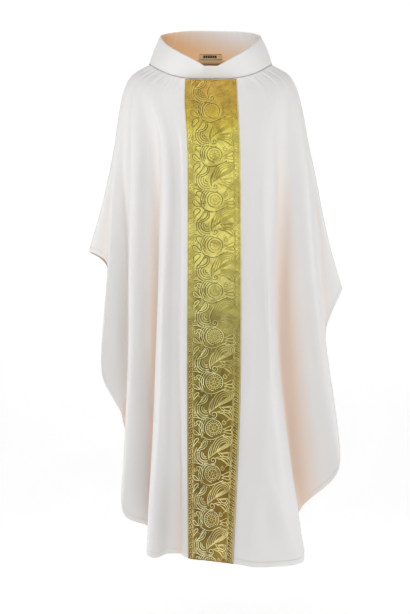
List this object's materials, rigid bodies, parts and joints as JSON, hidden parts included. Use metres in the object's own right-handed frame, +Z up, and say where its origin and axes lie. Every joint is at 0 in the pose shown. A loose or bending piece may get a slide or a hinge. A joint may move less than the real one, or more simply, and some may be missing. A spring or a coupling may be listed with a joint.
{
  "type": "chasuble",
  "caption": "Wide sleeveless vestment with a rolled stand collar and a brocade band down the front and back, hanging in deep folds.",
  "frame": {"origin": "middle of the neck opening at the height of the shoulders, where a wearer or a hanger holds the garment up", "axes": "+Z up from hem to collar, -Y the way the front faces, +X to the right as seen from the front"},
  "size_m": [0.6346, 0.3926, 1.3343],
  "materials": {
    "vestment_cloth": "off-white polyester crepe with a soft satin sheen",
    "brocade": "gold lurex brocade with a raised paisley and medallion figure",
    "canvas_backing": "plain woven cotton canvas",
    "satin_tape": "cream satin bias tape",
    "woven_label": "blank woven label"
  },
  "bodies": {
    "root": {"front_panel_left": "vestment_cloth", "front_panel_right": "vestment_cloth", "back_panel_left": "vestment_cloth", "back_panel_right": "vestment_cloth", "front_orphrey": "brocade", "back_orphrey": "brocade", "front_orphrey_backing": "canvas_backing", "back_orphrey_backing": "canvas_backing", "collar": "vestment_cloth", "collar_interlining": "canvas_backing", "neck_binding": "satin_tape", "neck_label": "woven_label", "shoulder_tape_left": "satin_tape", "shoulder_tape_right": "satin_tape"}
  },
  "joints": []
}
